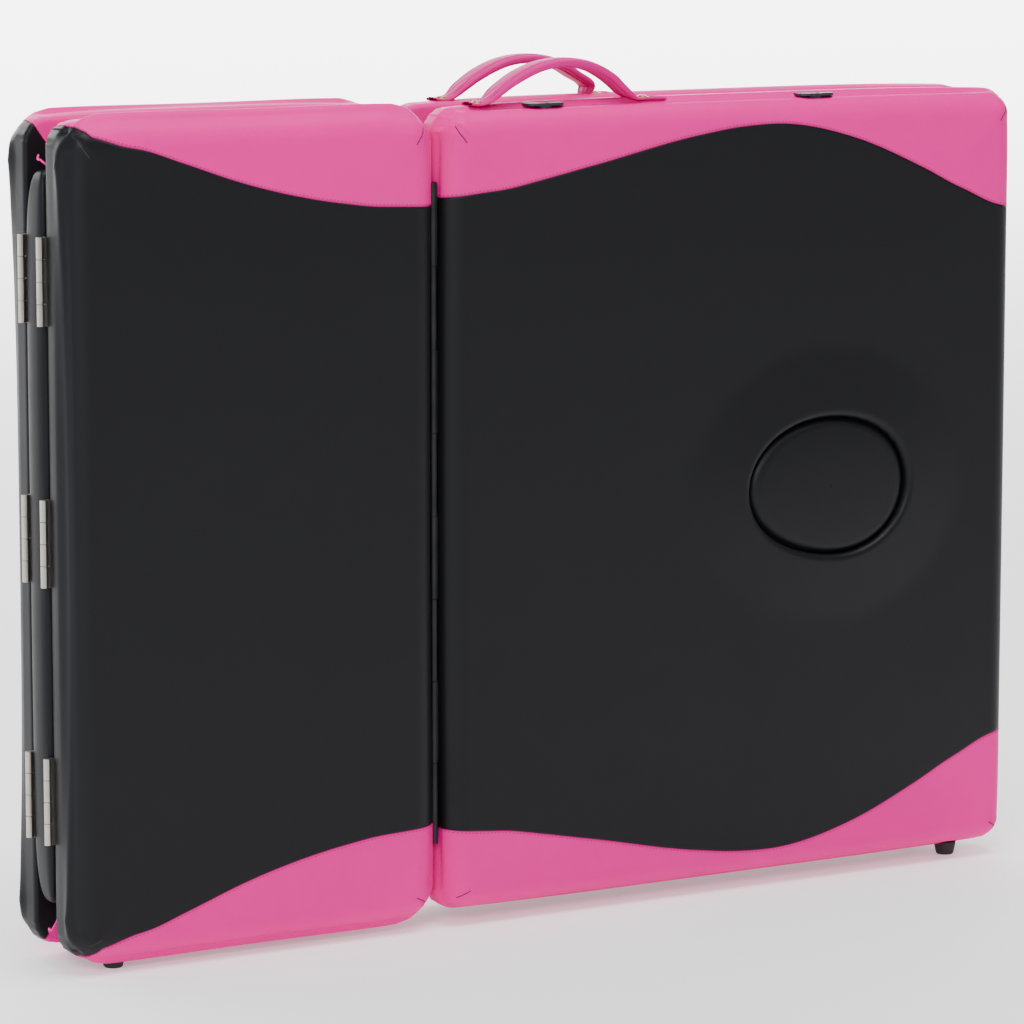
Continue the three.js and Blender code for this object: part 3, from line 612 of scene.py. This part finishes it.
def spine():
    """The padded strip between the halves: a closed grid of rounded rings along Z.
    Half width and half depth follow (1 - t^10)^0.34 towards the ends."""
    low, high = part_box("spine_board")
    middle, half = (low + high) / 2, (high - low) / 2
    levels = np.sin(np.linspace(-math.pi / 2, math.pi / 2, SPINE_RINGS))
    turns = np.linspace(0, 2 * math.pi, SPINE_TURNS, endpoint=False)
    taper = np.clip(1 - np.abs(levels) ** 10, 0, 1) ** 0.34 * 0.985 + 0.015
    c, s = np.cos(turns), np.sin(turns)
    power = 0.42
    x = np.sign(c) * np.abs(c) ** power * half.x
    y = np.sign(s) * np.abs(s) ** power * half.y
    rings = np.stack(
        [
            middle.x + taper[:, None] * x[None, :],
            middle.y + taper[:, None] * y[None, :],
            np.repeat((middle.z + levels * half.z)[:, None], SPINE_TURNS, 1),
        ],
        -1,
    )
    closed = np.concatenate([rings, rings[:, :1]], 1)
    held = np.zeros(closed.shape[:2], bool)
    held[[0, -1]] = True
    held[:, [0, -1]] = True
    for name in ("lower", "middle", "upper"):
        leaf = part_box(f"near_hinge_{name}_spine_leaf")
        by_leaf = (closed[..., 2] > leaf[0].z) & (closed[..., 2] < leaf[1].z)
        held |= by_leaf & (np.abs(closed[..., 1]) > 0.9 * half.y)
    shift = press(closed[:, ::-1], held[:, ::-1], "spine_cloth")[:, ::-1]
    rings = rings + np.clip(shift[:, :-1], -1.2 * MM, 1.2 * MM)
    faces = grid_faces(SPINE_RINGS, SPINE_TURNS, wrap=True)[:, ::-1]
    cover = build("spine_vinyl", rings, faces, ["black_vinyl"], "spine")
    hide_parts("spine_board")


# ---- Strap handles ------------------------------------------------------------------------
STRAP_RINGS, STRAP_TURNS = 140, 72
STRAP_TAIL = 14  # rings without stitches at the loose end
CHANNEL_PLACE = 0.66  # of the half width


def strap(name, y, stations, body):
    """A padded strap along a bow: stations are (place, height of the middle line, width, puff)
    in mm, joined by cubics. Its section is a flat oval with a stitched channel near each edge."""
    table = np.array(stations, float)
    run = np.concatenate([[0], np.cumsum(np.hypot(np.diff(table[:, 0]), np.diff(table[:, 1])))])
    t = np.linspace(0, run[-1], STRAP_RINGS)
    columns = [smooth_curve(t * MM, list(zip(run, table[:, k]))) for k in range(4)]
    x, z, width, puff = columns
    x = x - CASE_START
    along = np.stack([np.gradient(x), np.zeros_like(x), np.gradient(z)], -1)
    along /= np.linalg.norm(along, axis=1, keepdims=True)
    out = np.cross(along, (0, 1, 0)) * -1
    turns = np.linspace(0, 2 * math.pi, STRAP_TURNS, endpoint=False)
    across, thick = np.cos(turns), np.sign(np.sin(turns)) * np.abs(np.sin(turns)) ** 0.55
    channel = 1 - 0.5 * np.exp(-(((np.abs(across) - CHANNEL_PLACE) / 0.07) ** 2))
    gather = np.clip(1 - (width - width.min()) / (width.max() - width.min() + 1e-9), 0, 1)[:, None]
    ripple = 0.22 * gather * np.sin(across[None, :] * 9 + t[:, None] * 0.3)
    rings = (
        np.stack([x, np.full_like(x, y), z], -1)[:, None]
        + (across[None, :] * width[:, None] / 2)[..., None] * np.array((0, 1, 0))
        + ((thick * channel + ripple) * puff[:, None] / 2)[..., None] * out[:, None]
    )
    faces = grid_faces(STRAP_RINGS, STRAP_TURNS, wrap=True)
    made = build(name, rings, faces, ["pink_strap"], body)
    for sign, where in ((-1, "inner"), (1, "outer")):
        for face, finish in ((1, "over"), (-1, "under")):
            keep = slice(8, -8 - STRAP_TAIL)
            centre = np.stack([x, y + sign * CHANNEL_PLACE * width / 2, z], -1)[keep] + (
                face * 0.33 * puff[:, None] * out
            )[keep]
            gaps = np.concatenate([[0], np.cumsum(np.linalg.norm(np.diff(centre, axis=0), axis=1))])
            places = np.arange(0, gaps[-1], STRAP_PITCH)
            spots = np.stack([np.interp(places, gaps, centre[:, k]) for k in range(3)], -1)
            ways = np.stack([np.interp(places, gaps, along[keep][:, k]) for k in range(3)], -1)
            ways /= np.linalg.norm(ways, axis=1, keepdims=True)
            normals = np.cross(ways, (0, 1, 0)) * -face
            sewn = stitches(
                f"{name}_stitches_{where}_{finish}", spots, ways, normals,
                (2.2 * MM, 0.7 * MM), "pink_thread", body,
            )
            sewn.parent = made
    return made


def turned(name, profile_points, at, axis, finish, body, sides=28):
    """A turned piece: (radius, height) points in mm swung round an axis through a point."""
    rows = np.array(profile_points, float) * MM
    turn = np.linspace(0, 2 * math.pi, sides, endpoint=False)
    local = np.stack(
        [rows[:, :1] * np.cos(turn), rows[:, :1] * np.sin(turn), np.repeat(rows[:, 1:], sides, 1)], -1
    )
    spin = np.array(Vector((0, 0, 1)).rotation_difference(Vector(axis)).to_matrix())
    points = local @ spin.T + np.array(at)
    return build(name, points, grid_faces(len(rows), sides, wrap=True)[:, ::-1], [finish], body)


SCREW = [
    (0.05, 1.0), (1.2, 1.0), (1.4, 1.9), (2.6, 1.7), (4.0, 1.0), (4.3, 0.5), (6.6, 0.35), (6.9, 0.0),
    (6.9, -0.3),
]  # a domed head with its socket, on a cup washer
SCREW_SEAT = 3.4 * MM  # above the top of the cushions


# ---- Putting it together ------------------------------------------------------------------
hole = (HOLE_CENTRE, HOLE_SIZE)
NARROW_ENDS, WIDE_ENDS = (1.5 * MM, 4.9 * MM), (4.9 * MM, 2 * MM)
FAR_NARROW_ENDS = (0.0, 4.9 * MM)
pad("near_narrow", -1, NARROW_SEAM, "near_frame", 3 * MM, NARROW_ENDS)
pad("near_wide", -1, WIDE_SEAM, "near_back_section", 2 * MM, WIDE_ENDS, hole)
pad("far_narrow", 1, NARROW_SEAM, "far_frame", 3 * MM, FAR_NARROW_ENDS)
pad("far_wide", 1, WIDE_SEAM, "far_leg_section", 2 * MM, WIDE_ENDS)
plug()
spine()

# The vinyl's loose cut edge past each end of the spine: in from it, across it, beyond it, in mm
CUT_EDGE = [(10, -15, 7), (5, -15.5, 15), (3, -12, 21), (4, -6, 20), (6, -1, 22), (9, 4, 26)]
CUT_EDGE_POINTS = 50
run = np.linspace(0, len(CUT_EDGE) - 1, CUT_EDGE_POINTS)
cut_edge = np.stack([np.interp(run, range(len(CUT_EDGE)), axis) for axis in zip(*CUT_EDGE)], -1) * MM
spine_low, spine_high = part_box("spine_board")
for where, z, reach in (("lower", spine_low.z, -1), ("upper", spine_high.z, 0.45)):
    line = cut_edge * (1, 1, reach) + (spine_low.x, 0, z)
    tube_round(
        f"near_cut_edge_{where}", line, 0.9 * MM, "pink_vinyl", "near_frame", 8, closed=False
    )

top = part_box("near_handle")[0].z
top_mm = top / MM
NEAR_STRAP = [
    (379, top_mm + 2.8, 17, 3.4), (388, top_mm + 2.2, 18, 3.0), (397, top_mm + 4.5, 21, 4.5),
    (407, top_mm + 12, 25, 6.5), (425, top_mm + 23, 27.5, 8.2), (448, top_mm + 32, 28, 8.6),
    (472, top_mm + 34.8, 28, 8.6), (497, top_mm + 31, 28, 8.6), (517, top_mm + 21, 27, 8.2),
    (533, top_mm + 8, 23, 6.5), (541, top_mm + 3.2, 19, 4.0), (551, top_mm + 2.2, 16, 2.8),
    (562, top_mm + 2.6, 16, 3.4), (572, top_mm + 1.8, 14, 2.2),
]
FAR_STRAP = [(x + (7 if x < 540 else -4), z, width, puff) for x, z, width, puff in NEAR_STRAP]
for half_name, body, stations in (
    ("near", "near_back_section", NEAR_STRAP), ("far", "far_leg_section", FAR_STRAP),
):
    low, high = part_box(f"{half_name}_handle")
    y = (low.y + high.y) / 2
    handle = strap(f"{half_name}_strap", y, stations, body)
    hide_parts(f"{half_name}_handle")
    for k, place in ((1, stations[1][0]), (2, stations[11][0])):
        spot = (place * MM - CASE_START, y, top + SCREW_SEAT)
        turned(f"{half_name}_strap_screw_{k}", SCREW, spot, (0, 0, 1), "brass", body)

for name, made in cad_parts.items():
    if made.hide_render:
        continue
    role = next(
        finish
        for key, finish in (
            # section hinges take the black finish that paints the groove's shade
            ("section_hinge", "groove_shade_steel"), ("foot", "rubber"), ("tip", "rubber"),
            ("knob", "plastic"), ("socket", "plastic"),
            ("hinge", "nickel"), ("board", "plywood"), ("rail", "aluminium"), ("leg", "aluminium"),
            ("prop", "aluminium"),
        )
        if key in name
    )
    made.data.materials.clear()
    made.data.materials.append(FINISHES[role])


# ---- Floor, light and camera --------------------------------------------------------------
def staged(made):
    bpy.context.scene.collection.objects.link(made)
    return made


floor_finish, floor_tree, floor_shader, floor_place = material("Pale studio floor, matt", "#F4F4F4", 0.75)
floor_shader.inputs["Emission Color"].default_value = linear("#FFFFFF")
floor_shader.inputs["Emission Strength"].default_value = 0.35
mottle = node(floor_tree, "ShaderNodeTexNoise", {"Vector": floor_place, "Scale": 6.0, "Detail": 5.0})
floor_tree.links.new(spread(floor_tree, mottle.outputs[0], 0.68, 0.82), floor_shader.inputs["Roughness"])
bump(floor_tree, floor_shader, [(mottle.outputs[0], 0.05, 0.0005)])
floor_mesh = bpy.data.meshes.new("floor")
floor_mesh.from_pydata([(-30, -30, 0), (30, -30, 0), (30, 30, 0), (-30, 30, 0)], [], [(0, 1, 2, 3)])
floor_mesh.materials.append(floor_finish)
staged(bpy.data.objects.new("floor", floor_mesh))

world = bpy.data.worlds.new("Studio white")
bpy.context.scene.world = world
world.use_nodes = True
world.node_tree.nodes["Background"].inputs["Color"].default_value = (1, 1, 1, 1)
world.node_tree.nodes["Background"].inputs["Strength"].default_value = 0.38


def softbox(name, at, target, size, power, tint):
    lamp = bpy.data.lights.new(name, "AREA")
    lamp.shape = "RECTANGLE"
    lamp.size, lamp.size_y = size
    lamp.energy = power
    lamp.color = tint
    made = staged(bpy.data.objects.new(name, lamp))
    made.location = at
    made.rotation_euler = (Vector(target) - Vector(at)).to_track_quat("-Z", "Y").to_euler()


softbox("key", (-2.6, -3.0, 2.4), (0, 0, 0.35), (1.6, 1.6), 105, (0.93, 0.96, 1.0))
softbox("top", (0.1, -0.6, 3.0), (0, 0, 0.5), (2.2, 1.4), 90, (1.0, 0.98, 0.98))
softbox("left rim", (-3.2, 0.6, 0.9), (-0.4, 0, 0.35), (0.7, 1.8), 16, (0.62, 0.8, 1.0))
softbox("background", (9.0, 18.0, 4.0), (9.0, 18.0, 0.0), (34, 26), 19000, (1.0, 1.0, 1.0))

camera = bpy.data.cameras.new("camera")
camera.lens = 166.8
camera.sensor_width = 36
camera.clip_end = 100
camera_object = staged(bpy.data.objects.new("camera", camera))
camera_object.location = (-2.067, -3.460, 0.939)
look = Vector((-0.017, 0.0, 0.342)) - camera_object.location
camera_object.rotation_euler = look.to_track_quat("-Z", "Y").to_euler()
bpy.context.scene.camera = camera_object
